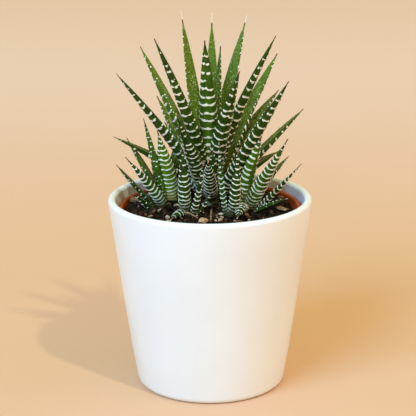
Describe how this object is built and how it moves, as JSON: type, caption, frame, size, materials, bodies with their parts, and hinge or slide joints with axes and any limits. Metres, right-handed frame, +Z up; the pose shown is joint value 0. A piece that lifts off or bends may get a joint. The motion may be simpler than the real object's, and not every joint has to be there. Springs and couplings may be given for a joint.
{
  "type": "potted haworthia",
  "caption": "Zebra haworthia with clustered rosettes of white-banded pointed leaves, rooted in a terracotta-coloured nursery pot inside a plain white tapered cover pot",
  "frame": {"origin": "middle of the cover pot's foot, on the surface that it stands on", "axes": "+Z is up along the pot's axis; the side with the small offsets faces -Y; +X is to the right seen from there"},
  "size_m": [0.105, 0.105, 0.1902],
  "materials": {
    "white_ceramic": "smooth white ceramic with a soft satin sheen",
    "terracotta_plastic": "thin orange-brown plastic, faintly ribbed and dusty",
    "potting_mix": "dark crumbly potting mix with tan grit and bark",
    "stem": "pale fleshy stem with dried leaf sheaths",
    "leaf": "waxy dark green leaf with raised white bands and dots",
    "pebble": "rough tan stone",
    "dry_plant": "dry fibrous brown plant scrap"
  },
  "bodies": {
    "root": {"cover_pot": "white_ceramic", "nursery_pot": "terracotta_plastic", "soil": "potting_mix", "front_left_stem": "stem", "front_right_stem": "stem", "left_stem": "stem", "main_stem": "stem", "right_stem": "stem", "front_left_leaf_01": "leaf", "front_left_leaf_02": "leaf", "front_left_leaf_03": "leaf", "front_left_leaf_04": "leaf", "front_right_leaf_01": "leaf", "front_right_leaf_02": "leaf", "front_right_leaf_03": "leaf", "left_leaf_01": "leaf", "left_leaf_02": "leaf", "left_leaf_03": "leaf", "left_leaf_04": "leaf", "left_leaf_05": "leaf", "left_leaf_06": "leaf", "left_leaf_07": "leaf", "left_leaf_08": "leaf", "left_leaf_09": "leaf", "main_leaf_01": "leaf", "main_leaf_02": "leaf", "main_leaf_03": "leaf", "main_leaf_04": "leaf", "main_leaf_05": "leaf", "main_leaf_06": "leaf", "main_leaf_07": "leaf", "main_leaf_08": "leaf", "main_leaf_09": "leaf", "main_leaf_10": "leaf", "main_leaf_11": "leaf", "main_leaf_12": "leaf", "main_leaf_13": "leaf", "main_leaf_14": "leaf", "main_leaf_15": "leaf", "main_leaf_16": "leaf", "main_leaf_17": "leaf", "main_leaf_18": "leaf", "main_leaf_19": "leaf", "main_leaf_20": "leaf", "main_leaf_21": "leaf", "main_leaf_22": "leaf", "main_leaf_23": "leaf", "right_leaf_01": "leaf", "right_leaf_02": "leaf", "right_leaf_03": "leaf", "right_leaf_04": "leaf", "right_leaf_05": "leaf", "right_leaf_06": "leaf", "right_leaf_07": "leaf", "right_leaf_08": "leaf", "pebble": "pebble", "bark_chip": "dry_plant", "dry_leaf_scrap": "dry_plant", "twig_left": "dry_plant", "twig_front": "dry_plant"}
  },
  "joints": []
}
